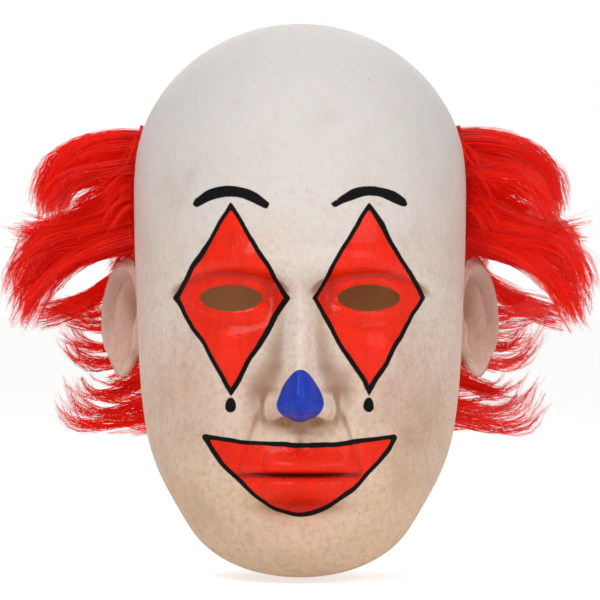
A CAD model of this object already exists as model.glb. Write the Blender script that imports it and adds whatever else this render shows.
"""A full-head clown mask: a painted latex shell with a tuft of red hair at each side."""

import logging
import math
from dataclasses import dataclass
from enum import Enum
from typing import Callable, Iterable, NamedTuple

import bpy
import numpy as np
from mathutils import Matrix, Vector
from mathutils.bvhtree import BVHTree


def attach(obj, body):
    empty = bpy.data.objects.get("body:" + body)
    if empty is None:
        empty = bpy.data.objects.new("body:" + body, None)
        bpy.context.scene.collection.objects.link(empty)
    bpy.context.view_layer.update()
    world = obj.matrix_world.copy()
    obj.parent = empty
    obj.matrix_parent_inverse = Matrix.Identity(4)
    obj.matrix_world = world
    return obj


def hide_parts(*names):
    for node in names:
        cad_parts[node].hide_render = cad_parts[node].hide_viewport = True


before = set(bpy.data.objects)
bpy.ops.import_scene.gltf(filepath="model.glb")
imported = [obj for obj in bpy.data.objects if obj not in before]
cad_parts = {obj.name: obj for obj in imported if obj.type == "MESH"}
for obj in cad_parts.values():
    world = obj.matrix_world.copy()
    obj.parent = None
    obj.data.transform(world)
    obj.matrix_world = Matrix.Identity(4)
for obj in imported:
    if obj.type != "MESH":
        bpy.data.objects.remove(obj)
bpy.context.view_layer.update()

MM = 0.001
LOG = logging.getLogger("clown_mask")

Relief = Callable[[np.ndarray, np.ndarray], np.ndarray]
Colour = tuple[float, float, float, float]
Socket = bpy.types.NodeSocket
Value = Socket | float
Tint = Socket | Colour


class Side(Enum):
    """The side of the mask, as seen by a viewer in front of it."""

    RIGHT = 1
    LEFT = -1


def colour(code: str) -> Colour:
    """Linear colour of a six-digit sRGB code.

    Args:
        code: Six hexadecimal digits.

    Returns:
        Red, green, blue and an alpha of 1, linear.
    """
    parts = [int(code[i : i + 2], 16) / 255 for i in (0, 2, 4)]
    red, green, blue = [c / 12.92 if c <= 0.04045 else ((c + 0.055) / 1.055) ** 2.4 for c in parts]
    return (red, green, blue, 1.0)


WHITE = colour("ffffff")


# Head form


class Section(NamedTuple):
    """One closed section of the head.

    Fronts, backs and widths are shares of the reaches and of half the width, drops of the height.
    full is the power of the outline's curve, and rows how many rows lead to the next section.
    """

    front: float
    front_drop: float
    back: float
    back_drop: float
    width: float
    full: float
    rows: int


class Swell(NamedTuple):
    """A soft swell or hollow of the face, at both sides.

    Shares of half the width, of the height and, for the rise, of the face's reach.
    """

    across: float
    drop: float
    spread_across: float
    spread_down: float
    rise: float


class Fold(NamedTuple):
    """A fine form of the face at both sides: millimetres, and a drop as a share of the height."""

    across: float
    drop: float
    spread_across: float
    spread_up: float
    rise: float


class NoseRow(NamedTuple):
    """A level of the nose: its drop, its rise and half its width, as shares."""

    drop: float
    rise: float
    half: float


DOME_DROP = 82 / 290
DOME_ANGLES = (0, 11, 23, 36, 50, 64, 77)
SECTIONS = (
    Section(0.965, DOME_DROP, 0.97, DOME_DROP, 1.0, 2.1, 2),
    Section(0.995, 0.36, 1.0, 0.36, 1.0, 2.15, 2),
    Section(1.0, 0.427, 1.0, 0.43, 0.995, 2.2, 4),
    Section(0.975, 0.5, 0.975, 0.49, 0.985, 2.25, 4),
    Section(0.965, 0.6, 0.91, 0.56, 0.975, 2.3, 6),
    Section(0.96, 0.713, 0.82, 0.635, 0.955, 2.35, 5),
    Section(0.965, 0.81, 0.76, 0.69, 0.92, 2.35, 3),
    Section(0.955, 0.875, 0.73, 0.725, 0.87, 2.3, 3),
    Section(0.94, 0.935, 0.71, 0.755, 0.79, 2.2, 2),
    Section(0.85, 0.985, 0.695, 0.775, 0.71, 2.1, 2),
    Section(0.73, 0.99, 0.685, 0.785, 0.675, 2.0, 2),
    Section(0.55, 0.96, 0.68, 0.795, 0.66, 2.0, 1),
    Section(0.5, 0.983, 0.68, 0.815, 0.66, 2.0, 0),
)
RELIEF = (
    Swell(0.38, 0.435, 0.3, 0.028, 0.045),
    Swell(0.0, 0.44, 0.13, 0.035, 0.02),
    Swell(0.38, 0.49, 0.2, 0.04, -0.09),
    Swell(0.17, 0.495, 0.07, 0.03, -0.05),
    Swell(0.4, 0.5, 0.17, 0.03, 0.075),
    Swell(0.52, 0.59, 0.24, 0.06, 0.055),
    Swell(0.26, 0.66, 0.1, 0.05, -0.025),
    Swell(0.62, 0.74, 0.2, 0.06, -0.03),
    Swell(0.0, 0.8, 0.36, 0.075, 0.06),
    Swell(0.0, 0.868, 0.26, 0.02, -0.04),
    Swell(0.0, 0.935, 0.25, 0.042, 0.075),
)
# Nostrils, creases beside the nose, the dent of the chin, and the corners of the mouth
FOLDS = (
    Fold(7.0, 0.7135, 3.6, 2.4, -5.0),
    Fold(18.5, 0.69, 1.8, 7.0, -1.1),
    Fold(0.0, 0.93, 5.0, 4.0, -0.8),
    Fold(30.5, 0.81, 3.2, 3.2, -1.2),
)
NOSE = (
    NoseRow(0.42, 0.0, 0.32),
    NoseRow(0.46, 0.1, 0.35),
    NoseRow(0.5, 0.24, 0.38),
    NoseRow(0.56, 0.5, 0.44),
    NoseRow(0.62, 0.78, 0.54),
    NoseRow(0.66, 0.98, 0.68),
    NoseRow(0.683, 1, 0.74),
    NoseRow(0.703, 0.8, 0.7),
    NoseRow(0.718, 0.22, 0.6),
    NoseRow(0.735, 0.0, 0.5),
)
NOSE_TIP_DROP = NOSE[6].drop


def column_at(values: np.ndarray, position: np.ndarray) -> np.ndarray:
    """Catmull-Rom value of a table's column at fractional rows.

    Args:
        values: The column.
        position: Rows, fractional.

    Returns:
        One value for each row asked for.
    """
    last = len(values) - 1
    i = np.clip(np.floor(position).astype(int), 0, last - 1)
    t = position - i
    a, b, c, d = (values[np.clip(i + k, 0, last)] for k in (-1, 0, 1, 2))
    return b + 0.5 * t * (c - a + t * (2 * a - 5 * b + 4 * c - d + t * (3 * (b - c) + d - a)))


def swell(across: np.ndarray, down: np.ndarray) -> np.ndarray:
    """1 in the middle, with a smooth edge to each side."""
    return np.exp(-across * across - down * down)


def smooth_step(value: np.ndarray, low: float, high: float) -> np.ndarray:
    """0 up to low, 1 from high on, and smooth between them."""
    t = np.clip((value - low) / (high - low), 0, 1)
    return t * t * (3 - 2 * t)


def distance_to_line(x: np.ndarray, z: np.ndarray, line: np.ndarray) -> np.ndarray:
    """Distance from each place to an open line of points.

    Args:
        x: Places across.
        z: Their heights.
        line: The line's points, x and z.

    Returns:
        One distance for each place.
    """
    least = np.full_like(x, np.inf)
    for (start_x, start_z), (end_x, end_z) in zip(line[:-1], line[1:]):
        run, rise = end_x - start_x, end_z - start_z
        share = np.clip(((x - start_x) * run + (z - start_z) * rise) / (run * run + rise * rise), 0, 1)
        least = np.minimum(least, np.hypot(x - start_x - share * run, z - start_z - share * rise))
    return least


def steps_round(radius: float) -> list[tuple[float, float]]:
    """Eight steps of one length all round, each as its share to the right and its share up."""
    angles = [k * math.pi / 4 for k in range(8)]
    return [(radius * math.cos(angle), radius * math.sin(angle)) for angle in angles]


@dataclass(frozen=True)
class HeadForm:
    """The head's sizes in millimetres, as in the part's source, and the surfaces that follow from them."""

    height: float = 290.0
    width: float = 176.0
    face_reach: float = 108.0
    back_reach: float = 114.0
    widest_depth: float = 12.0
    wall: float = 2.5
    mouth_drop: float = 0.81
    nose_reach: float = 25.0
    nose_width: float = 37.0
    mouth_width: float = 60.0
    lip_fullness: float = 4.4
    lip_height: float = 0.021
    eye_drop: float = 0.5
    eye_hole_width: float = 32.0
    eye_hole_height: float = 13.5
    crowding: float = 0.62

    @property
    def eye_x(self) -> float:
        """Middle of the right eye hole, across."""
        return self.width / 5

    def z_of(self, drop: float) -> float:
        """Height of a drop below the crown."""
        return self.wall - drop * self.height

    def nose_rise(self, x: np.ndarray, drop: np.ndarray) -> np.ndarray:
        """How far the nose stands out.

        Args:
            x: Places across the face.
            drop: Shares of the height below the crown.

        Returns:
            The rise at each place.
        """
        half = self.nose_width / 2
        drops = np.array([row.drop for row in NOSE])
        row = np.interp(drop, drops, np.arange(len(NOSE)))
        ridge = column_at(np.array([r.rise for r in NOSE]), row) * self.nose_reach
        across = x / (column_at(np.array([r.half for r in NOSE]), row) * half)
        beside = (np.abs(x) - 0.66 * half) / (0.36 * half)
        wing = 0.46 * self.nose_reach * swell(beside, (drop - 0.69) / 0.021)
        body = np.maximum(0, ridge) * np.exp(-across * across)
        return np.hypot(body, wing)

    def lip_rise(self, x: np.ndarray, drop: np.ndarray) -> np.ndarray:
        """How far the closed lips stand out.

        Args:
            x: Places across the face.
            drop: Shares of the height below the crown.

        Returns:
            The rise at each place.
        """
        across = x / (self.mouth_width / 2)
        taper = np.maximum(0, 1 - across * across)
        down = (drop - self.mouth_drop) / self.lip_height
        upper = swell(0 * down, (down + 0.8) / 0.85) * taper**0.7
        lower = swell(0 * down, (down - 1.0) / 0.9) * taper**0.9
        gap = 0.75 * swell(0 * down, down / 0.3) * taper**0.4
        return self.lip_fullness * (0.85 * upper + lower - gap)

    def face_relief(self, x: np.ndarray, z: np.ndarray) -> np.ndarray:
        """Forward relief of the face without its lips and fine folds.

        Args:
            x: Places across the face.
            z: Their heights.

        Returns:
            The rise at each place.
        """
        drop = (self.wall - z) / self.height
        across = np.abs(x) / (self.width / 2)
        rise = self.nose_rise(x, drop)
        for s in RELIEF:
            away = swell((across - s.across) / s.spread_across, (drop - s.drop) / s.spread_down)
            rise = rise + s.rise * self.face_reach * away
        return rise

    def folds(self, x: np.ndarray, z: np.ndarray) -> np.ndarray:
        """Fine forms that the CAD solid leaves out: lid rims and creases, nostrils, the groove over the lip.

        Args:
            x: Places across the face.
            z: Their heights.

        Returns:
            The rise at each place, a few millimetres at most.
        """
        side = np.abs(x)
        eye_z = self.z_of(self.eye_drop)
        dx = (side - self.eye_x) / (self.eye_hole_width / 2)
        dz = (z - eye_z) / (self.eye_hole_height / 2)
        ring = np.sqrt(dx * dx + dz * dz)
        upper = smooth_step(dz, -0.4, 0.7)
        rim = 1.0 * swell((ring - 1.22) / 0.2, 0 * ring)
        crease = -1.3 * upper * swell((ring - 1.85) / 0.22, 0 * ring)
        fold = 0.9 * upper * swell((ring - 2.4) / 0.35, 0 * ring)
        bag = -0.9 * (1 - upper) * swell((ring - 2.1) / 0.3, dx / 1.2)
        lip_top = self.z_of(self.mouth_drop) + 0.036 * self.height
        groove = -1.3 * swell(x / 3.2, (z - lip_top - 5.0) / 5.5)
        along = (self.z_of(0.7) - z) / 34.0
        fold_x = 21.0 + 14.0 * along - 3.0 * along * along
        lines = -0.9 * swell((side - fold_x) / 1.9, (along - 0.45) / 0.5)
        total = rim + crease + fold + bag + groove + lines
        for f in FOLDS:
            away = swell((side - f.across) / f.spread_across, (z - self.z_of(f.drop)) / f.spread_up)
            total += f.rise * away
        return total

    def outer_relief(self, x: np.ndarray, z: np.ndarray) -> np.ndarray:
        """Forward relief of the outside of the mask."""
        drop = (self.wall - z) / self.height
        return self.face_relief(x, z) + self.lip_rise(x, drop) + self.folds(x, z)

    def inner_relief(self, x: np.ndarray, z: np.ndarray) -> np.ndarray:
        """Forward relief of the inside, held back by the steep sides of the nose and the eyes' dips.

        Args:
            x: Places across the face.
            z: Their heights.

        Returns:
            The rise at each place.
        """
        least = self.face_relief(x, z)
        for radius in (self.wall, 2.2 * self.wall):
            for right, up in steps_round(radius):
                beside = self.face_relief(x + right, z + up)
                least = np.minimum(least, 0.8 * self.wall + beside)
        return least

    def sections(self) -> np.ndarray:
        """All sections from the crown to the rim, the dome's as quarter ellipses.

        Returns:
            One row for each section, with a section's columns.
        """
        rows = []
        top = SECTIONS[0]
        for degrees in DOME_ANGLES:
            reach = math.sin(math.radians(degrees))
            drop = DOME_DROP * (1 - math.cos(math.radians(degrees)))
            full = 2 + (top.full - 2) * reach
            rows.append(Section(top.front * reach, drop, top.back * reach, drop, reach, full, 1))
        return np.array([*rows, *SECTIONS], dtype=float)

    def plain(self, position: np.ndarray, angle: np.ndarray) -> np.ndarray:
        """Points of the plain head.

        Args:
            position: Section positions down from the crown.
            angle: Angles round from the face.

        Returns:
            The points, with x, y and z in the last axis.
        """
        table = self.sections()
        front, front_drop, back, back_drop, size, full = (column_at(table[:, k], position) for k in range(6))
        front_y, back_y = -front * self.face_reach, back * self.back_reach
        front_z, back_z = self.wall - front_drop * self.height, self.wall - back_drop * self.height
        middle = self.widest_depth * np.minimum(1, size)
        reach = back_y - front_y
        share = (middle - front_y) / np.where(np.abs(reach) < 1e-9, 1, reach)
        middle_z = front_z + share * (back_z - front_z)
        c, s = np.cos(angle), np.sin(angle)
        power = 2 / np.where(c > 0, full, 2.1)
        along = np.abs(c) ** power
        x = size * self.width / 2 * np.sign(s) * np.abs(s) ** power
        y = middle + (np.where(c > 0, front_y, back_y) - middle) * along
        z = middle_z + (np.where(c > 0, front_z, back_z) - middle_z) * along
        return np.stack([x, y, z], axis=-1)

    def grid(self, columns: int, row_share: float, offset: float, relief: Relief) -> np.ndarray:
        """Grid of the head's points, moved along the normal and then given its relief.

        Args:
            columns: Points round the head.
            row_share: Rows for each row of the tables.
            offset: How far out of the plain head the surface lies.
            relief: The forward relief to lay on it.

        Returns:
            Rows by columns by x, y and z.
        """
        table = self.sections()
        last = len(table) - 1
        rows = [0.0]
        for i in range(last):
            steps = max(1, round(table[i, 6] * row_share))
            rows += [i + k / steps for k in range(1, steps + 1)]
        turn = 2 * math.pi * np.arange(columns) / columns
        position, angle = np.meshgrid(np.array(rows), turn - self.crowding * np.sin(turn), indexing="ij")
        small = 1e-3
        inside = np.clip(position, 0.02, last - small)
        here = self.plain(position, angle)
        down = self.plain(inside + small, angle) - self.plain(inside - small, angle)
        around = self.plain(inside, angle + small) - self.plain(inside, angle - small)
        normal = np.cross(down, around)
        normal /= np.linalg.norm(normal, axis=-1, keepdims=True)
        here = here + offset * normal
        facing = smooth_step(np.cos(angle), 0.02, 0.4)
        here[..., 1] -= facing * relief(here[..., 0], here[..., 2])
        return here


# Mesh making


def linked(name: str, data: bpy.types.ID) -> bpy.types.Object:
    """A new object, linked to the scene.

    Args:
        name: Name of the object.
        data: Its mesh, camera or light.

    Returns:
        The object.
    """
    made = bpy.data.objects.new(name, data)
    bpy.context.scene.collection.objects.link(made)
    return made


def mesh_from_rings(name: str, rings: np.ndarray, first: np.ndarray | None = None) -> bpy.types.Object:
    """A closed mesh from rings of points, with a fan at each end, in metres.

    Args:
        name: Name of the object.
        rings: Rings by points by x, y and z, in millimetres.
        first: The point that closes the first ring, its middle if left out.

    Returns:
        The linked object, its faces outwards.
    """
    count, columns, _ = rings.shape
    start = rings[0].mean(axis=0) if first is None else first
    points = np.vstack([start[None], rings.reshape(-1, 3), rings[-1].mean(axis=0)[None]]) * MM
    j = np.arange(columns)
    after = (j + 1) % columns
    at = 1 + columns * np.arange(count - 1)[:, None]
    quads = np.stack([at + j, at + columns + j, at + columns + after, at + after], axis=-1).reshape(-1, 4)
    end = 1 + columns * (count - 1)
    last = len(points) - 1
    top = np.stack([np.zeros_like(j), 1 + j, 1 + after], axis=-1)
    bottom = np.stack([np.full_like(j, last), end + after, end + j], axis=-1)
    mesh = bpy.data.meshes.new(name)
    mesh.from_pydata(points.tolist(), [], quads.tolist() + top.tolist() + bottom.tolist())
    if signed_volume(mesh) < 0:
        mesh.flip_normals()
    return linked(name, mesh)


def signed_volume(mesh: bpy.types.Mesh) -> float:
    """Six times the volume inside a closed mesh, negative if its faces point inwards.

    Args:
        mesh: The mesh.

    Returns:
        Six times the volume, in cubic metres.
    """
    mesh.calc_loop_triangles()
    points = np.empty(len(mesh.vertices) * 3)
    mesh.vertices.foreach_get("co", points)
    points = points.reshape(-1, 3)
    corners = np.empty(len(mesh.loop_triangles) * 3, dtype=np.int32)
    mesh.loop_triangles.foreach_get("vertices", corners)
    a, b, c = (points[corners.reshape(-1, 3)[:, k]] for k in range(3))
    return float(np.einsum("ij,ij->", a, np.cross(b, c)))


def combine(base: bpy.types.Object, tool: bpy.types.Object, operation: str) -> None:
    """Joins or cuts a closed mesh with another, which is removed afterwards.

    Args:
        base: The mesh that is changed.
        tool: The mesh that it is joined with or cut by.
        operation: UNION or DIFFERENCE.
    """
    step = base.modifiers.new("combine", "BOOLEAN")
    step.operation = operation
    step.solver = "MANIFOLD"
    step.object = tool
    graph = bpy.context.evaluated_depsgraph_get()
    result = bpy.data.meshes.new_from_object(base.evaluated_get(graph))
    base.modifiers.clear()
    old = base.data
    base.data = result
    bpy.data.meshes.remove(old)
    bpy.data.objects.remove(tool)


def surface_of(item: bpy.types.Object) -> BVHTree:
    """Search tree over an object's faces."""
    return BVHTree.FromObject(item, bpy.context.evaluated_depsgraph_get())


def store(mesh: bpy.types.Mesh, name: str, values: np.ndarray) -> None:
    """Stores one number for each point of a mesh under a name."""
    layer = mesh.attributes.new(name, "FLOAT", "POINT")
    layer.data.foreach_set("value", values.astype(np.float32))


def positions(mesh: bpy.types.Mesh) -> np.ndarray:
    """A mesh's points.

    Args:
        mesh: The mesh.

    Returns:
        Their x, y and z, in millimetres.
    """
    points = np.empty(len(mesh.vertices) * 3)
    mesh.vertices.foreach_get("co", points)
    return points.reshape(-1, 3) / MM


# Finishes


class Sheet:
    """A node tree to fill, with short ways to add nodes and wires."""

    def __init__(self, tree: bpy.types.NodeTree) -> None:
        """Keeps the tree."""
        self.tree = tree

    def feed(self, node: bpy.types.Node, inputs: dict) -> None:
        """Sets or wires some of a node's inputs.

        Args:
            node: The node.
            inputs: Values or sockets, by the input's name or number.
        """
        for key, value in inputs.items():
            if isinstance(value, Socket):
                self.tree.links.new(value, node.inputs[key])
            else:
                node.inputs[key].default_value = value

    def node(self, kind: str, inputs: dict | None = None, **settings: object) -> bpy.types.Node:
        """Adds a node.

        Args:
            kind: Blender's name for the kind of node.
            inputs: Values or sockets for its inputs, by name or number.
            settings: Properties of the node itself.

        Returns:
            The new node.
        """
        made = self.tree.nodes.new(kind)
        for key, value in settings.items():
            setattr(made, key, value)
        self.feed(made, inputs or {})
        return made

    def math(self, operation: str, *values: Value) -> Socket:
        """Output of a Math node on the values or sockets given."""
        return self.node("ShaderNodeMath", dict(enumerate(values)), operation=operation).outputs[0]

    def times(self, first: Value, second: Value) -> Socket:
        """The product of two numbers."""
        return self.math("MULTIPLY", first, second)

    def plus(self, first: Value, second: Value) -> Socket:
        """The sum of two numbers."""
        return self.math("ADD", first, second)

    def most(self, first: Value, second: Value) -> Socket:
        """The larger of two numbers."""
        return self.math("MAXIMUM", first, second)

    def ramp(self, value: Socket, low: float, high: float) -> Socket:
        """Value mapped smoothly to 0 at low and 1 at high.

        Args:
            value: The value.
            low: Where the result is 0.
            high: Where the result is 1.

        Returns:
            The mapped value.
        """
        inputs = {"Value": value, "From Min": low, "From Max": high}
        made = self.node("ShaderNodeMapRange", inputs, interpolation_type="SMOOTHSTEP", clamp=True)
        return made.outputs["Result"]

    def mix(self, share: Value, first: Tint, second: Tint) -> Socket:
        """Colour between the first and the second by the share."""
        inputs = {0: share, 6: first, 7: second}
        return self.node("ShaderNodeMix", inputs, data_type="RGBA").outputs[2]

    def blend(self, share: Value, first: Value, second: Value) -> Socket:
        """Number between the first and the second by the share."""
        inputs = {0: share, 2: first, 3: second}
        return self.node("ShaderNodeMix", inputs, data_type="FLOAT").outputs[0]

    def layered(self, base: Tint, layers: Iterable[tuple[Value, Tint]]) -> Socket:
        """Colour with others laid over it in order.

        Args:
            base: The lowest colour.
            layers: How much of it each layer covers, and the layer's colour.

        Returns:
            The colour on top.
        """
        for share, tint in layers:
            base = self.mix(share, base, tint)
        return base

    def noise(self, place: Socket, scale: float, detail: float = 3.0) -> Socket:
        """Value of a noise texture at the place."""
        inputs = {"Vector": place, "Scale": scale, "Detail": detail, "Roughness": 0.6}
        return self.node("ShaderNodeTexNoise", inputs).outputs["Fac"]

    def attribute(self, name: str) -> Socket:
        """Number stored on the surface under that name."""
        return self.node("ShaderNodeAttribute", attribute_name=name).outputs["Fac"]

    def camera_ray(self) -> Socket:
        """1 where the camera looks, 0 for light that bounces."""
        return self.node("ShaderNodeLightPath").outputs["Is Camera Ray"]


def new_material(name: str) -> tuple[bpy.types.Material, Sheet, bpy.types.Node]:
    """A node material with only a Principled shader and its output.

    Args:
        name: Name of the material.

    Returns:
        The material, its sheet and the shader.
    """
    material = bpy.data.materials.new(name)
    material.use_nodes = True
    sheet = Sheet(material.node_tree)
    shader = material.node_tree.nodes["Principled BSDF"]
    return material, sheet, shader


def cast_grain_group() -> bpy.types.NodeTree:
    """The grain of cast latex, shared by the outside and the inside of the mask.

    Returns:
        A group with the inputs Vector, Pore Scale and Mottle Scale and the outputs Height, Mottle and Specks.
    """
    tree = bpy.data.node_groups.new("cast_grain", "ShaderNodeTree")
    for name, kind in (("Vector", "Vector"), ("Pore Scale", "Float"), ("Mottle Scale", "Float")):
        tree.interface.new_socket(name=name, in_out="INPUT", socket_type=f"NodeSocket{kind}")
    for name in ("Height", "Mottle", "Specks"):
        tree.interface.new_socket(name=name, in_out="OUTPUT", socket_type="NodeSocketFloat")
    sheet = Sheet(tree)
    entry = sheet.node("NodeGroupInput")
    place, pore, mottle = (entry.outputs[k] for k in range(3))
    cells = sheet.node("ShaderNodeTexVoronoi", {"Vector": place, "Scale": pore}).outputs["Distance"]
    fine = sheet.node("ShaderNodeTexNoise", {"Vector": place, "Scale": pore, "Detail": 4.0}).outputs["Fac"]
    pits = sheet.ramp(cells, 0.05, 0.45)
    height = sheet.plus(sheet.times(pits, 0.4), fine)
    broad = sheet.node("ShaderNodeTexNoise", {"Vector": place, "Scale": mottle, "Detail": 5.0}).outputs["Fac"]
    spots = sheet.node("ShaderNodeTexNoise", {"Vector": place, "Scale": sheet.times(pore, 0.55)})
    specks = sheet.ramp(spots.outputs["Fac"], 0.69, 0.77)
    sheet.node("NodeGroupOutput", dict(enumerate((height, broad, specks))))
    return tree


class Paint(Enum):
    """Attributes with the distance in millimetres to a painted shape's edge, below 0 inside it."""

    EYE = "eye_paint"
    MOUTH = "mouth_paint"
    NOSE = "nose_paint"
    STROKE = "stroke_paint"
    LIP_LINE = "lip_line"


class Brushwork(NamedTuple):
    """Masks of what is painted by brush, 0 to 1, and the streaks that the brush leaves."""

    filled: Socket
    nose: Socket
    lined: Socket
    streak: Socket


@dataclass(frozen=True)
class PaintedLatex:
    """Off-white latex with airbrushed warmth in its folds, glossy brushed colours and black outlines."""

    dome: Colour = colour("dcd7d3")
    cheek: Colour = colour("ead7c8")
    jaw: Colour = colour("e4c8ac")
    sallow: Colour = colour("dcc49c")
    grime: Colour = colour("94694a")
    blush: Colour = colour("c48670")
    speck: Colour = colour("8a5a3a")
    orange: Colour = colour("f82400")
    orange_deep: Colour = colour("c01a00")
    blue: Colour = colour("183ab6")
    blue_deep: Colour = colour("102480")
    black: Colour = colour("050404")
    lip_shade: Colour = colour("3c0804")
    outline: float = 2.3
    warm_heights: tuple[float, float] = (-0.06, -0.23)
    jaw_heights: tuple[float, float] = (-0.19, -0.27)

    def skin(self, sheet: Sheet, place: Socket, low: Socket, mottle: Socket, specks: Socket) -> Socket:
        """Colour of the airbrushed skin.

        Args:
            sheet: The material's sheet.
            place: Object coordinates.
            low: Height with a ragged edge, in metres.
            mottle: Broad noise of the grain.
            specks: Mask of the small dark specks.

        Returns:
            The colour.
        """
        warmth = sheet.ramp(low, *self.warm_heights)
        yellowed = sheet.times(sheet.ramp(sheet.noise(place, 48.0), 0.45, 0.7), warmth)
        fold = sheet.times(sheet.attribute("fold"), sheet.blend(mottle, 0.55, 1.0))
        patchy = sheet.times(sheet.ramp(mottle, 0.5, 0.8), sheet.blend(warmth, 0.16, 0.3))
        dusty = sheet.times(sheet.ramp(sheet.noise(place, 300.0, 6.0), 0.42, 0.68), 0.36)
        layers = (
            (warmth, self.cheek),
            (sheet.ramp(low, *self.jaw_heights), self.jaw),
            (sheet.times(yellowed, 0.5), self.sallow),
            (sheet.times(sheet.attribute("blush"), 0.5), self.blush),
            (sheet.times(sheet.ramp(fold, 0.0, 0.75), 0.85), self.grime),
            (patchy, self.grime),
            (sheet.times(dusty, sheet.blend(warmth, 0.2, 1.0)), self.blush),
            (sheet.times(specks, 0.3), self.speck),
        )
        return sheet.layered(self.dome, layers)

    def brushwork(self, sheet: Sheet, place: Socket) -> Brushwork:
        """Masks of the brushed shapes, with edges that wander as a hand's do.

        Args:
            sheet: The material's sheet.
            place: Object coordinates.

        Returns:
            The masks and the streaks.
        """
        wander = sheet.times(sheet.math("SUBTRACT", sheet.noise(place, 50.0, 1.0), 0.5), 3.0)
        ragged = sheet.times(sheet.math("SUBTRACT", sheet.noise(place, 420.0), 0.5), 0.4)
        shift = sheet.plus(wander, ragged)
        swing = sheet.blend(sheet.noise(place, 32.0, 1.0), 0.6 * self.outline, 1.4 * self.outline)
        streaks = sheet.node("ShaderNodeMapping", {"Vector": place, "Scale": (190.0, 190.0, 45.0)})

        def inside(shape: Paint, margin: Value = 0.0) -> Socket:
            """1 inside the shape grown by the margin, with a hand-painted edge."""
            away = sheet.math("SUBTRACT", sheet.plus(sheet.attribute(shape.value), shift), margin)
            return sheet.ramp(away, 0.22, -0.22)

        filled = sheet.most(inside(Paint.EYE), inside(Paint.MOUTH))
        lined = sheet.most(inside(Paint.EYE, swing), inside(Paint.MOUTH, swing))
        lined = sheet.most(lined, inside(Paint.STROKE))
        streak = sheet.noise(streaks.outputs["Vector"], 1.0, 4.0)
        return Brushwork(filled, inside(Paint.NOSE), lined, streak)

    def build(self, grain: bpy.types.NodeTree) -> bpy.types.Material:
        """Makes the material.

        Args:
            grain: The shared grain of cast latex.

        Returns:
            The material.
        """
        material, sheet, shader = new_material("painted_latex")
        place = sheet.node("ShaderNodeTexCoord").outputs["Object"]
        inputs = {"Vector": place, "Pore Scale": 700.0, "Mottle Scale": 26.0}
        texture = sheet.node("ShaderNodeGroup", inputs, node_tree=grain)
        height, mottle, specks = (texture.outputs[k] for k in range(3))
        z = sheet.node("ShaderNodeSeparateXYZ", {"Vector": place}).outputs["Z"]
        low = sheet.math("SUBTRACT", z, sheet.times(mottle, 0.03))
        brush = self.brushwork(sheet, place)

        thin = sheet.times(sheet.ramp(brush.streak, 0.4, 0.8), 0.5)
        orange = sheet.mix(thin, self.orange, self.orange_deep)
        orange = sheet.mix(sheet.times(sheet.attribute("fold"), 0.8), orange, self.orange_deep)
        lip_gap = sheet.ramp(sheet.attribute(Paint.LIP_LINE.value), 1.3, -0.3)
        layers = (
            (brush.lined, self.black),
            (brush.filled, orange),
            (brush.nose, sheet.mix(thin, self.blue, self.blue_deep)),
            (sheet.times(lip_gap, 0.9), self.lip_shade),
        )
        base = sheet.layered(self.skin(sheet, place, low, mottle, specks), layers)

        glossy = sheet.most(brush.filled, brush.nose)
        inked = sheet.times(brush.lined, sheet.math("SUBTRACT", 1.0, glossy))
        bare_rough = sheet.blend(mottle, 0.42, 0.6)
        rough = sheet.blend(glossy, bare_rough, sheet.blend(brush.streak, 0.2, 0.36))
        rough = sheet.blend(inked, rough, 0.7)

        warmth = sheet.ramp(low, *self.warm_heights)
        thick = sheet.times(sheet.most(glossy, inked), sheet.blend(brush.streak, 1.1, 1.6))
        coarse = sheet.times(sheet.noise(place, 90.0, 4.0), 1.4)
        grainy = sheet.times(sheet.noise(place, 420.0, 4.0), sheet.blend(warmth, 0.8, 3.0))
        total = sheet.plus(sheet.plus(height, coarse), sheet.plus(grainy, thick))
        bump = sheet.node("ShaderNodeBump", {"Height": total, "Strength": 0.7, "Distance": 0.0004})
        finish = {
            "Base Color": base,
            "Roughness": rough,
            "Specular IOR Level": 0.16,
            "Coat Weight": sheet.times(glossy, 0.16),
            "Coat Roughness": 0.12,
            "Normal": bump.outputs["Normal"],
        }
        sheet.feed(shader, finish)
        return material


@dataclass(frozen=True)
class RawLatex:
    """Unpainted latex of the inside and of the cut edges.

    The glow stands for light that comes through the wall.
    """

    tan: Colour = colour("c69468")
    brown: Colour = colour("a06c42")
    glow: float = 0.17

    def build(self, grain: bpy.types.NodeTree) -> bpy.types.Material:
        """Makes the material.

        Args:
            grain: The shared grain of cast latex.

        Returns:
            The material.
        """
        material, sheet, shader = new_material("raw_latex")
        place = sheet.node("ShaderNodeTexCoord").outputs["Object"]
        inputs = {"Vector": place, "Pore Scale": 380.0, "Mottle Scale": 18.0}
        texture = sheet.node("ShaderNodeGroup", inputs, node_tree=grain)
        height, mottle, specks = (texture.outputs[k] for k in range(3))
        base = sheet.mix(sheet.ramp(mottle, 0.3, 0.75), self.tan, self.brown)
        base = sheet.mix(sheet.times(specks, 0.4), base, self.brown)
        bump = sheet.node("ShaderNodeBump", {"Height": height, "Strength": 0.4, "Distance": 0.0005})
        finish = {
            "Base Color": base,
            "Roughness": sheet.blend(mottle, 0.45, 0.65),
            "Emission Color": base,
            "Emission Strength": self.glow,
            "Normal": bump.outputs["Normal"],
        }
        sheet.feed(shader, finish)
        return material


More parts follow.
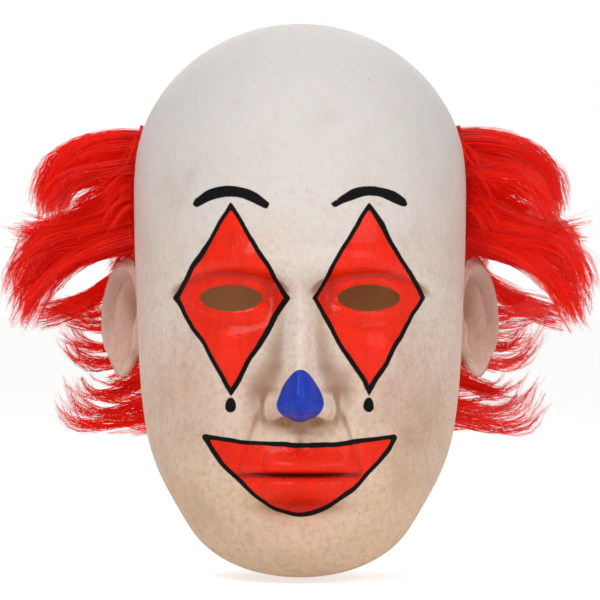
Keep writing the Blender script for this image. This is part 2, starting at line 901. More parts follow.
@dataclass(frozen=True)
class RedFibre:
    """Bright red synthetic hair, each strand with its own tone.

    The glow stands for light that thin strands let through.
    """

    bright: Colour = colour("fe2e0e")
    middle: Colour = colour("f61704")
    deep: Colour = colour("be0a04")
    glow: float = 0.155

    def build(self) -> bpy.types.Material:
        """Makes the material.

        Returns:
            The material.
        """
        material, sheet, shader = new_material("red_fibre")
        place = sheet.node("ShaderNodeTexCoord").outputs["Object"]
        tone = sheet.attribute("tone")
        base = sheet.mix(sheet.ramp(tone, 0.0, 0.55), self.deep, self.middle)
        base = sheet.mix(sheet.ramp(tone, 0.55, 1.0), base, self.bright)
        root = sheet.ramp(sheet.attribute("along"), 0.25, 0.0)
        base = sheet.mix(sheet.times(root, 0.4), base, self.deep)
        finish = {
            "Base Color": base,
            "Roughness": sheet.blend(sheet.noise(place, 300.0), 0.28, 0.5),
            "Specular IOR Level": 0.3,
            "Emission Color": base,
            "Emission Strength": self.glow,
        }
        sheet.feed(shader, finish)
        return material


# Mask shell


@dataclass
class EarForm:
    """Sizes of one ear in millimetres, as in the part's source, with its finer folds."""

    height: float = 64.0
    width: float = 35.0
    thickness: float = 5.0
    drop: float = 0.535
    depth: float = 6.0
    flare: float = 40.0
    lean: float = 6.0
    sunk: float = 5.0
    around: int = 72
    rings: int = 22

    def heights(self, r: np.ndarray, angle: np.ndarray) -> tuple[np.ndarray, np.ndarray]:
        """Front and rear heights of the flap.

        Args:
            r: Distance from the middle, 1 at the edge.
            angle: Angle round the ear, 0 at the free edge and 90 degrees at the top.

        Returns:
            The front and the rear, in millimetres from the flap's plane.
        """
        across, up = r * np.cos(angle), r * np.sin(angle)
        zero = 0 * r
        rolled = np.where(np.sin(angle) > -0.7, 1.0, 0.4)
        helix = swell(zero, (r - 0.86) / 0.13) * rolled
        bowl = swell((across + 0.15) / 0.42, (up + 0.02) / 0.4)
        gutter = 0.45 * swell(zero, (r - 0.66) / 0.1) * smooth_step(up, -0.5, 0.1)
        ridge = 0.5 * swell((across - 0.16) / 0.13, (up + 0.05) / 0.55) * smooth_step(r, 0.2, 0.45)
        fork = 0.4 * swell((across + 0.12 - 0.25 * up) / 0.12, (up - 0.52) / 0.18)
        flap = 0.65 * swell((across + 0.72) / 0.14, (up + 0.12) / 0.14)
        notch = 0.5 * swell((across + 0.4) / 0.1, (up + 0.36) / 0.1)
        edge = np.sqrt(np.maximum(0, 1 - r * r))
        shape = 0.35 * edge + 0.75 * helix - 0.95 * bowl + 0.1 - gutter + ridge + fork + flap - notch
        front = self.thickness * shape
        rear = -self.thickness * (0.55 * edge + 0.8 * bowl + 0.1 * gutter)
        return front, np.minimum(rear, front - 1.6 * edge - 0.05)

    def axes(self, head: HeadForm, seat: float) -> tuple[np.ndarray, np.ndarray, np.ndarray]:
        """Where the right ear's flap lies.

        Args:
            head: The head that it joins.
            seat: x of the side of the head where it joins.

        Returns:
            The flap's middle, the unit vector towards its free edge, and the one out of its front.
        """
        flare = math.radians(self.flare)
        across = np.array([math.sin(flare), math.cos(flare), 0])
        facing = np.array([math.cos(flare), -math.sin(flare), 0])
        middle = np.array([seat - self.sunk, self.depth, head.z_of(self.drop)]) + across * self.width / 2
        return middle, across, facing

    def paint(self, head: HeadForm, seat: float, points: np.ndarray) -> tuple[np.ndarray, np.ndarray]:
        """How dark the folds of the ears are, and how much of each point belongs to an ear.

        Args:
            head: The head that they join.
            seat: x of the side of the head where they join.
            points: Points of the mask, in millimetres.

        Returns:
            The fold shade and the ear's share, 0 to 1.
        """
        middle, across, facing = self.axes(head, seat)
        away = np.column_stack([np.abs(points[:, 0]), points[:, 1:]]) - middle
        out, lean = away @ facing, math.radians(self.lean)
        u, v = away @ across, away[:, 2]
        side = 2 * (u * math.cos(lean) + v * math.sin(lean)) / self.width
        up = 2 * (v * math.cos(lean) - u * math.sin(lean)) / self.height
        r = np.hypot(side, up)
        on_ear = smooth_step(-r, -1.15, -1.0) * smooth_step(-np.abs(out), -11.0, -7.0)
        bowl = 0.9 * swell((side + 0.3) / 0.5, (up - 0.2) / 0.42)
        base = 0.6 * swell((side + 0.75) / 0.3, (up + 0.72) / 0.22)
        gutter = 0.2 * swell(0 * r, (r - 0.68) / 0.1) * smooth_step(up, -0.5, 0.0)
        fold = on_ear * (bowl + base + gutter + 0.06)
        blush = on_ear * (0.7 + 0.9 * swell((side + 0.1) / 0.65, (up - 0.2) / 0.7))
        return fold, blush

    def build(self, head: HeadForm, side: Side, seat: float) -> bpy.types.Object:
        """Makes the closed mesh of one ear.

        Args:
            head: The head that it joins.
            side: Which side it is on.
            seat: x of the side of the head where it joins.

        Returns:
            The object.
        """
        share = np.sin(np.linspace(0, math.pi / 2, self.rings + 1)[1:])
        turn = 2 * math.pi * np.arange(self.around) / self.around
        r, angle = np.meshgrid(share, turn, indexing="ij")
        up = np.sin(angle)
        narrow = np.where(up < 0, 1 + 0.32 * up**3, 1.0)
        front, rear = self.heights(r, angle)
        edge = 0.35 * self.thickness
        front[-1] = edge
        u = self.width / 2 * r * np.cos(angle) * narrow
        v = self.height / 2 * r * up
        faces = np.stack([u, v, front], axis=-1)
        backs = np.stack([u, v, rear], axis=-1)[:-1][::-1]
        rings = np.concatenate([faces, backs])
        lean = math.radians(self.lean)
        turned_u = rings[..., 0] * math.cos(lean) - rings[..., 1] * math.sin(lean)
        turned_v = rings[..., 0] * math.sin(lean) + rings[..., 1] * math.cos(lean)
        middle, across, facing = self.axes(head, seat)
        points = turned_u[..., None] * across + turned_v[..., None] * np.array([0, 0, 1.0])
        points = points + rings[..., 2:3] * facing + middle
        points[..., 0] *= side.value
        return mesh_from_rings(f"ear_{side.name.lower()}", points)


class Airbrush(NamedTuple):
    """A soft patch of airbrushed colour at both sides, in millimetres, and its strength."""

    across: float
    height: float
    spread_across: float
    spread_up: float
    strength: float


GRIME = (
    Airbrush(78.0, -232.0, 26.0, 44.0, 0.24),
    Airbrush(82.0, -120.0, 18.0, 36.0, 0.2),
)
BLUSH = (
    Airbrush(56.0, -186.0, 22.0, 26.0, 0.6),
    Airbrush(0.0, -262.0, 26.0, 18.0, 0.25),
)


def sprayed(patches: tuple[Airbrush, ...], side: np.ndarray, z: np.ndarray) -> np.ndarray:
    """How much colour a set of airbrushed patches leaves.

    Args:
        patches: The patches.
        side: Places out from the middle.
        z: Their heights.

    Returns:
        The amount at each place.
    """
    total = np.zeros_like(side)
    for p in patches:
        away = swell((side - p.across) / p.spread_across, (z - p.height) / p.spread_up)
        total += p.strength * away
    return total


@dataclass
class MaskShell:
    """The latex shell: head, ears, hollow and eye holes, and the paint on it."""

    form: HeadForm
    ear: EarForm
    outer_columns: int = 300
    outer_share: float = 4.6
    inner_columns: int = 96
    inner_share: float = 1.6
    eye_patch_half_width: float = 27.0
    eye_patch_half_height: float = 45.0
    mouth_patch_half_width: float = 48.0
    mouth_patch_half_height: float = 17.0
    mouth_patch_lift: float = 21.0
    mouth_patch_sink: float = 2.5
    mouth_patch_inset: float = 0.8
    mouth_patch_steps: int = 24
    nose_patch_radius: float = 12.0
    nose_patch_depth: float = 19.0
    brow_half_width: float = 18.0
    brow_drop: float = 0.312
    brow_curve: float = 0.02
    brow_end: float = 1.8
    brow_swell: float = 1.1
    tear_gap: float = 10.5
    tear_radius: float = 2.6
    lip_line_half_width: float = 31.0
    lip_line_half_height: float = 0.75
    paint_end: float = -30.0
    eye_cut_front: float = -162.0
    eye_cut_back: float = -54.0
    sharp_angle: float = 52.0

    def solid(self) -> bpy.types.Object:
        """The head as a filled mesh, closed at the crown and the rim."""
        rings = self.form.grid(self.outer_columns, self.outer_share, 0.0, self.form.outer_relief)
        return mesh_from_rings("latex_shell", rings[1:], rings[0].mean(axis=0))

    def hollow(self) -> bpy.types.Object:
        """The space inside the mask, run on through the rim.

        Returns:
            The closed mesh of it.
        """
        form = self.form
        rings = form.grid(self.inner_columns, self.inner_share, -form.wall, form.inner_relief)
        rim = rings[-1]
        front, back = rim[0], rim[self.inner_columns // 2]
        outward = -np.array([0, front[2] - back[2], back[1] - front[1]])
        outward = outward / np.linalg.norm(outward)
        way_out = rim + outward * 8 * form.wall
        rings, crown = np.concatenate([rings[1:], way_out[None]]), rings[0].mean(axis=0)
        return mesh_from_rings("hollow", rings, crown)

    def eye_hole(self, side: Side) -> bpy.types.Object:
        """A cutter for one eye hole.

        Args:
            side: The side that it is on.

        Returns:
            The closed mesh of it.
        """
        turn = 2 * math.pi * np.arange(72) / 72
        x = side.value * self.form.eye_x + self.form.eye_hole_width / 2 * np.cos(turn)
        z = self.form.z_of(self.form.eye_drop) + self.form.eye_hole_height / 2 * np.sin(turn)
        depths = (self.eye_cut_back, self.eye_cut_front)
        rings = [np.stack([x, np.full_like(x, y), z], axis=-1) for y in depths]
        return mesh_from_rings("eye_hole", np.array(rings))

    def ear_seat(self) -> float:
        """Where the ears join the side of the head.

        Returns:
            The place's x, on the right side.
        """
        points = self.form.grid(48, 1.0, 0.0, self.form.outer_relief).reshape(-1, 3)
        points = points[points[:, 0] > 0]
        away = np.hypot(points[:, 1] - self.ear.depth, points[:, 2] - self.form.z_of(self.ear.drop))
        return float(points[np.argmin(away), 0])

    def patches(self, points: np.ndarray) -> dict[Paint, np.ndarray]:
        """Distances to the edges of the painted shapes, seen from the front.

        Args:
            points: The mesh's points, in millimetres.

        Returns:
            One distance a point for each shape, less than 0 inside it.
        """
        form = self.form
        x, y, z = points.T
        side = np.abs(x)
        dx, dz = side - form.eye_x, z - form.z_of(form.eye_drop)
        a, b = self.eye_patch_half_width, self.eye_patch_half_height
        eye = (np.abs(dx) / a + np.abs(dz) / b - 1) * a * b / math.hypot(a, b)

        steps = self.mouth_patch_steps
        out = np.sin(np.linspace(0, math.pi / 2, steps))
        lift = self.mouth_patch_lift * out**1.8 + form.z_of(form.mouth_drop) - self.mouth_patch_sink
        thick = self.mouth_patch_half_height * (1 - out * out)
        edge_x = self.mouth_patch_half_width * np.concatenate([out, out[-2::-1]])
        edge_z = np.concatenate([lift + thick, (lift - thick)[-2::-1]])
        mouth = distance_to_line(side, z, np.column_stack([edge_x, edge_z]))
        under = z < np.interp(side, edge_x[:steps], edge_z[:steps])
        over = z > np.interp(side, edge_x[: steps - 2 : -1], edge_z[: steps - 2 : -1])
        mouth = np.where(under & over, -mouth, mouth) + self.mouth_patch_inset

        above = z - form.z_of(NOSE_TIP_DROP)
        wide = x * (1 + 0.02 * np.clip(above, 0, 20))
        nose = np.hypot(wide, above * np.where(above > 0, 0.72, 1.22)) - self.nose_patch_radius
        nose = np.maximum(nose, y - y.min() - self.nose_patch_depth)

        across = np.linspace(-self.brow_half_width, self.brow_half_width, 15)
        arch_z = form.z_of(self.brow_drop) - self.brow_curve * (across - 1.0) ** 2
        arch = np.column_stack([form.eye_x + across, arch_z])
        reach = np.minimum(1, np.abs(side - form.eye_x) / self.brow_half_width)
        brow = distance_to_line(side, z, arch) - self.brow_end - self.brow_swell * (1 - reach * reach)
        drop_z = form.z_of(form.eye_drop) - self.eye_patch_half_height - self.tear_gap
        tear = np.hypot(dx, (z - drop_z) * np.where(z > drop_z, 0.55, 1.0)) - self.tear_radius
        stroke = np.minimum(brow, tear)

        gap, corner = z - form.z_of(form.mouth_drop), self.lip_line_half_width
        narrowed = np.sqrt(np.maximum(0, 1 - (side / corner) ** 2))
        line = np.abs(gap) - self.lip_line_half_height * narrowed
        line = np.where(side > corner, np.hypot(side - corner, gap), line)
        return dict(zip(Paint, (eye, mouth, nose, stroke, line)))

    def shading(self, points: np.ndarray) -> tuple[np.ndarray, np.ndarray]:
        """How much airbrushed grime and blush each point has.

        Args:
            points: The mesh's points, in millimetres.

        Returns:
            The fold shade and the blush, 0 to 1.
        """
        x, y, z = points.T
        here = self.form.outer_relief(x, z)
        shade = np.zeros_like(x)
        for radius, weight in ((2.5, 0.75), (6.0, 0.18), (12.0, 0.05)):
            around = np.zeros_like(x)
            for right, up in steps_round(radius):
                around += self.form.outer_relief(x + right, z + up) / 8
            shade += weight * np.clip(around - here, 0, None)
        side = np.abs(x)
        facing = smooth_step(-y, 5.0, 45.0)
        nape = 0.35 * smooth_step(y, 40.0, 80.0) * smooth_step(-z, 190.0, 235.0)
        ear_fold, ear_blush = self.ear.paint(self.form, self.ear_seat(), points)
        fold = np.clip(facing * (shade + sprayed(GRIME, side, z)) + ear_fold + nape, 0, 1)
        blush = np.clip(facing * sprayed(BLUSH, side, z) + ear_blush, 0, 1)
        return fold, blush

    def on_eye_cut(self, centre: Vector) -> bool:
        """Whether a face lies on the cut edge of an eye hole.

        Args:
            centre: The face's middle, in metres.

        Returns:
            True if it does.
        """
        form = self.form
        across = (abs(centre.x) / MM - form.eye_x) / (form.eye_hole_width / 2)
        up = (centre.z / MM - form.z_of(form.eye_drop)) / (form.eye_hole_height / 2)
        return centre.y / MM < self.eye_cut_back and math.hypot(across, up) < 1.001

    def dress(self, mesh: bpy.types.Mesh, hollow: BVHTree) -> None:
        """Stores the paint on the points and tells the painted faces from the raw ones.

        Args:
            mesh: The finished shell.
            hollow: Search tree of the inner wall.
        """
        points = positions(mesh)
        behind = np.maximum(0, points[:, 1] - self.paint_end)
        for shape, away in self.patches(points).items():
            store(mesh, shape.value, away + behind)
        for name, values in zip(("fold", "blush"), self.shading(points)):
            store(mesh, name, values)
        raw = []
        for face in mesh.polygons:
            inner = hollow.find_nearest(face.center, self.form.wall / 5 * MM)[0] is not None
            raw.append(int(inner or self.on_eye_cut(face.center)))
        mesh.polygons.foreach_set("material_index", raw)

    def build(self) -> bpy.types.Object:
        """Makes the shell.

        Returns:
            The piece.
        """
        shell = self.solid()
        for side in Side:
            combine(shell, self.ear.build(self.form, side, self.ear_seat()), "UNION")
        hollow = self.hollow()
        inner = surface_of(hollow)
        combine(shell, hollow, "DIFFERENCE")
        for side in Side:
            combine(shell, self.eye_hole(side), "DIFFERENCE")
        grain = cast_grain_group()
        shell.data.materials.clear()
        shell.data.materials.append(PaintedLatex().build(grain))
        shell.data.materials.append(RawLatex().build(grain))
        self.dress(shell.data, inner)
        shell.data.shade_smooth()
        shell.data.set_sharp_from_angle(angle=math.radians(self.sharp_angle))
        return shell


# Hair


class Lock(NamedTuple):
    """A hair lock of the right tuft.

    Drops are shares of the head's height, depths of its back reach, and reaches and widths of the
    tuft's. exit and tip are the directions of its two ends, in degrees above level.
    """

    root_drop: float
    root_depth: float
    exit: float
    tip_reach: float
    tip_drop: float
    tip_depth: float
    tip: float
    width: float


class Bunch(Enum):
    """The three bunches of a tuft, from the top down, each with its locks."""

    CREST = (
        Lock(0.21, 0.2, 6, 0.76, 0.335, 0.12, -97, 0.8),
        Lock(0.232, 0.42, 0, 0.77, 0.35, 0.58, -98, 0.85),
        Lock(0.266, 0.12, -8, 0.69, 0.352, -0.06, -72, 0.85),
        Lock(0.292, 0.34, -13, 0.58, 0.35, 0.3, -34, 0.85),
        Lock(0.32, 0.16, -20, 0.98, 0.378, 0.08, 10, 0.75),
    )
    SWEEP = (
        Lock(0.338, 0.44, -13, 0.96, 0.445, 0.58, -80, 0.95),
        Lock(0.366, 0.12, -18, 0.99, 0.495, -0.04, -86, 1),
        Lock(0.382, 0.3, -22, 0.97, 0.525, 0.3, -82, 1),
        Lock(0.39, 0.08, -16, 0.93, 0.545, -0.08, -66, 0.8),
        Lock(0.425, 0.5, -34, 0.88, 0.535, 0.6, -12, 0.7),
    )
    WISPS = (
        Lock(0.475, 0.42, -44, 0.7, 0.51, 0.3, 24, 0.5),
        Lock(0.51, 0.5, -40, 0.66, 0.528, 0.62, 36, 0.5),
        Lock(0.55, 0.42, -42, 0.58, 0.552, 0.32, 70, 0.42),
        Lock(0.585, 0.5, -34, 0.64, 0.566, 0.62, 80, 0.45),
        Lock(0.64, 0.42, -24, 0.46, 0.648, 0.3, 66, 0.42),
        Lock(0.68, 0.5, -20, 0.6, 0.662, 0.6, 76, 0.45),
        Lock(0.715, 0.44, -6, 0.66, 0.684, 0.36, 74, 0.5),
    )


class BackingPoint(NamedTuple):
    """A point of the backing strip's middle line.

    Shares of the back reach, of the head's height and of the strip's width.
    """

    depth: float
    drop: float
    width: float


BACKING_LINE = (
    BackingPoint(0.28, 0.18, 0.62),
    BackingPoint(0.28, 0.29, 0.98),
    BackingPoint(0.29, 0.4, 1.0),
    BackingPoint(0.39, 0.47, 0.66),
    BackingPoint(0.44, 0.55, 0.48),
    BackingPoint(0.45, 0.65, 0.46),
    BackingPoint(0.43, 0.735, 0.36),
)


class GuideLine(NamedTuple):
    """A line that strands follow.

    Its points, the unit vectors across it, and how far strands spread to each side.
    """

    points: np.ndarray
    across: np.ndarray
    half: float


@dataclass(frozen=True)
class Coat:
    """How the strands along each guide line lie, in millimetres and shares."""

    strands: int
    depth_share: float
    root_depth: float
    sway: float
    wave: float
    stray: float
    shortest: float
    seed: int


UNDERCOAT = Coat(46, 1.2, 5.0, 4.0, 5.0, 8.0, 0.55, 31)
COATS = {
    Bunch.CREST: Coat(414, 1.7, 12.0, 5.0, 8.0, 24.0, 0.55, 47),
    Bunch.SWEEP: Coat(432, 1.7, 11.0, 5.0, 8.0, 24.0, 0.55, 59),
    Bunch.WISPS: Coat(117, 1.7, 8.0, 6.0, 8.0, 24.0, 0.45, 73),
}


class StrandTree:
    """The Geometry Nodes tree that turns a lock's guide line into tapering strands in small clumps."""

    INPUTS = (
        ("Strands", "Int"),
        ("Clump Size", "Int"),
        ("Strand Radius", "Float"),
        ("Depth Share", "Float"),
        ("Root Depth", "Float"),
        ("Clump Width", "Float"),
        ("Sway", "Float"),
        ("Frizz", "Float"),
        ("Wave", "Float"),
        ("Stray", "Float"),
        ("Shortest", "Float"),
        ("Seed", "Int"),
        ("Finish", "Material"),
    )

    def __init__(self) -> None:
        """Builds the tree."""
        self.tree = bpy.data.node_groups.new("strands_along_locks", "GeometryNodeTree")
        face = self.tree.interface
        face.new_socket(name="Guides", in_out="INPUT", socket_type="NodeSocketGeometry")
        self.sockets = {}
        for name, kind in self.INPUTS:
            made = face.new_socket(name=name, in_out="INPUT", socket_type=f"NodeSocket{kind}")
            self.sockets[name] = made.identifier
        face.new_socket(name="Strands", in_out="OUTPUT", socket_type="NodeSocketGeometry")
        self.sheet = Sheet(self.tree)
        self.fill()

    def named(self, name: str, kind: str = "FLOAT") -> Socket:
        """A value stored on the guides."""
        made = self.sheet.node("GeometryNodeInputNamedAttribute", {"Name": name}, data_type=kind)
        return made.outputs["Attribute"]

    def chance(self, identity: Socket, low: float, high: float, salt: int) -> Socket:
        """A number between low and high that stays the same for each identity.

        Args:
            identity: What has a number of its own.
            low: The least.
            high: The most.
            salt: Keeps one use apart from another.

        Returns:
            The number.
        """
        seed = self.sheet.plus(self.entry.outputs["Seed"], float(salt))
        inputs = {2: low, 3: high, "ID": identity, "Seed": seed}
        return self.sheet.node("FunctionNodeRandomValue", inputs, data_type="FLOAT").outputs[1]

    def scaled(self, vector: Socket, factor: Value) -> Socket:
        """A vector times a number."""
        inputs = {0: vector, "Scale": factor}
        return self.sheet.node("ShaderNodeVectorMath", inputs, operation="SCALE").outputs[0]

    def summed(self, first: Socket, second: Socket | tuple[float, float, float]) -> Socket:
        """The sum of two vectors."""
        return self.sheet.node("ShaderNodeVectorMath", {0: first, 1: second}, operation="ADD").outputs[0]

    def drift(self, identity: Socket, scale: float, salt: int) -> Socket:
        """A smooth wandering vector of about one unit, different for each identity.

        Args:
            identity: What has a path of its own.
            scale: Waves in each metre.
            salt: Keeps one use apart from another.

        Returns:
            The vector.
        """
        seat = self.sheet.node("GeometryNodeInputPosition").outputs[0]
        own_time = self.chance(identity, 0.0, 60.0, salt)
        inputs = {"Vector": seat, "W": own_time, "Scale": scale, "Detail": 1.0}
        noise = self.sheet.node("ShaderNodeTexNoise", inputs, noise_dimensions="4D")
        centred = self.summed(noise.outputs["Color"], (-0.5, -0.5, -0.5))
        return self.scaled(centred, 2.0)

    def spread(self, strand: Socket, clump: Socket, along: Socket, late: Socket) -> Socket:
        """Where a strand lies in its clump, and the clump in its lock.

        Args:
            strand: Number of the strand.
            clump: Number of its clump.
            along: Share of the way along the guide.
            late: The same, squared.

        Returns:
            The offset from the guide.
        """
        sheet, entry = self.sheet, self.entry.outputs
        half = self.named("half_width")
        turn = self.chance(clump, 0.0, 2 * math.pi, 1)
        reach = sheet.math("SQRT", self.chance(clump, 0.0, 1.0, 2))
        side_share = sheet.times(reach, sheet.math("COSINE", turn))
        depth_share = sheet.times(reach, sheet.math("SINE", turn))
        taper = sheet.blend(late, 1.0, 0.62)
        side_way = sheet.times(sheet.times(side_share, half), taper)
        lock_depth = sheet.times(half, entry["Depth Share"])
        settle = sheet.ramp(along, 0.0, 0.45)
        depth_size = sheet.blend(settle, entry["Root Depth"], lock_depth)
        depth_way = sheet.times(sheet.times(depth_share, depth_size), taper)

        own_turn = self.chance(strand, 0.0, 2 * math.pi, 3)
        own_reach = sheet.math("SQRT", self.chance(strand, 0.0, 1.0, 4))
        own_reach = sheet.times(own_reach, entry["Clump Width"])
        own_reach = sheet.times(own_reach, sheet.blend(along, 1.0, 0.25))
        side_way = sheet.plus(side_way, sheet.times(own_reach, sheet.math("COSINE", own_turn)))
        depth_way = sheet.plus(depth_way, sheet.times(own_reach, sheet.math("SINE", own_turn)))
        across = self.named("across", "FLOAT_VECTOR")
        depth_axis = sheet.node("ShaderNodeCombineXYZ", {"X": 0.0, "Y": 1.0, "Z": 0.0}).outputs[0]
        return self.summed(self.scaled(across, side_way), self.scaled(depth_axis, depth_way))

    def wander(self, offset: Socket, strand: Socket, clump: Socket, along: Socket, late: Socket) -> Socket:
        """Sway, frizz, waves and strays on top of an offset.

        Args:
            offset: The offset so far.
            strand: Number of the strand.
            clump: Number of its clump.
            along: Share of the way along the guide.
            late: The same, squared.

        Returns:
            The whole offset.
        """
        sheet, entry = self.sheet, self.entry.outputs
        sway = [sheet.times(self.chance(clump, -1.0, 1.0, 5 + k), late) for k in range(3)]
        swayed = sheet.node("ShaderNodeCombineXYZ", dict(enumerate(sway))).outputs[0]
        frizz = sheet.times(entry["Frizz"], sheet.blend(along, 0.15, 1.0))
        wave = sheet.times(entry["Wave"], sheet.ramp(along, 0.05, 0.75))
        stray = sheet.math("POWER", self.chance(strand, 0.0, 1.0, 15), 9.0)
        stray = sheet.times(sheet.times(stray, entry["Stray"]), late)
        ways = (
            (swayed, entry["Sway"]),
            (self.drift(strand, 46.0, 9), frizz),
            (self.drift(clump, 24.0, 14), wave),
            (self.drift(strand, 8.0, 16), stray),
        )
        for way, amount in ways:
            offset = self.summed(offset, self.scaled(way, amount))
        return offset

    def tubes(self, strands: Socket, strand: Socket, clump: Socket, along: Socket) -> Socket:
        """Strands cut to their lengths and made three-sided tubes that taper.

        Args:
            strands: The strands as curves.
            strand: Number of each strand.
            clump: Number of its clump.
            along: Share of the way along the guide.

        Returns:
            The mesh.
        """
        sheet, entry = self.sheet, self.entry.outputs
        length = sheet.most(self.chance(strand, 0.55, 1.0, 11), self.chance(clump, 0.2, 1.0, 12))
        length = sheet.blend(length, entry["Shortest"], 1.0)
        inputs = {"Curve": strands, 3: length}
        strands = sheet.node("GeometryNodeTrimCurve", inputs, mode="FACTOR").outputs[0]
        slim = sheet.times(sheet.blend(along, 1.0, 0.35), self.chance(strand, 0.75, 1.2, 13))
        inputs = {"Curve": strands, "Radius": sheet.times(slim, entry["Strand Radius"])}
        strands = sheet.node("GeometryNodeSetCurveRadius", inputs).outputs[0]
        profile = sheet.node("GeometryNodeCurvePrimitiveCircle", {"Resolution": 3, "Radius": 1.0})
        inputs = {
            "Curve": strands,
            "Profile Curve": profile.outputs[0],
            "Scale": sheet.node("GeometryNodeInputRadius").outputs[0],
            "Fill Caps": True,
        }
        return sheet.node("GeometryNodeCurveToMesh", inputs).outputs[0]

    def fill(self) -> None:
        """Places and wires the tree's nodes."""
        sheet = self.sheet
        self.entry = sheet.node("NodeGroupInput")
        entry = self.entry.outputs
        lines = sheet.node("GeometryNodeMeshToCurve", {"Mesh": entry["Guides"]}).outputs[0]
        inputs = {"Geometry": lines, "Amount": entry["Strands"]}
        copies = sheet.node("GeometryNodeDuplicateElements", inputs, domain="SPLINE").outputs[0]

        inputs = {0: sheet.node("GeometryNodeInputIndex").outputs[0]}
        on_curve = sheet.node("GeometryNodeFieldOnDomain", inputs, domain="CURVE", data_type="INT")
        strand = on_curve.outputs[0]
        clump = sheet.math("FLOOR", sheet.math("DIVIDE", strand, entry["Clump Size"]))
        along = self.named("guide_share")
        late = sheet.times(along, along)

        offset = self.wander(self.spread(strand, clump, along, late), strand, clump, along, late)
        inputs = {"Geometry": copies, "Offset": offset}
        strands = sheet.node("GeometryNodeSetPosition", inputs).outputs[0]
        tone = sheet.blend(0.5, self.chance(strand, 0.0, 1.0, 10), self.chance(clump, -0.1, 1.1, 17))
        for name, value, domain in (("tone", tone, "CURVE"), ("along", along, "POINT")):
            inputs = {"Geometry": strands, "Name": name, "Value": value}
            strands = sheet.node("GeometryNodeStoreNamedAttribute", inputs, domain=domain).outputs[0]

        tubes = self.tubes(strands, strand, clump, along)
        joined = sheet.node("GeometryNodeRealizeInstances", {0: tubes}).outputs[0]
        inputs = {"Geometry": joined, "Material": entry["Finish"]}
        finished = sheet.node("GeometryNodeSetMaterial", inputs).outputs[0]
        sheet.node("NodeGroupOutput", {0: finished})


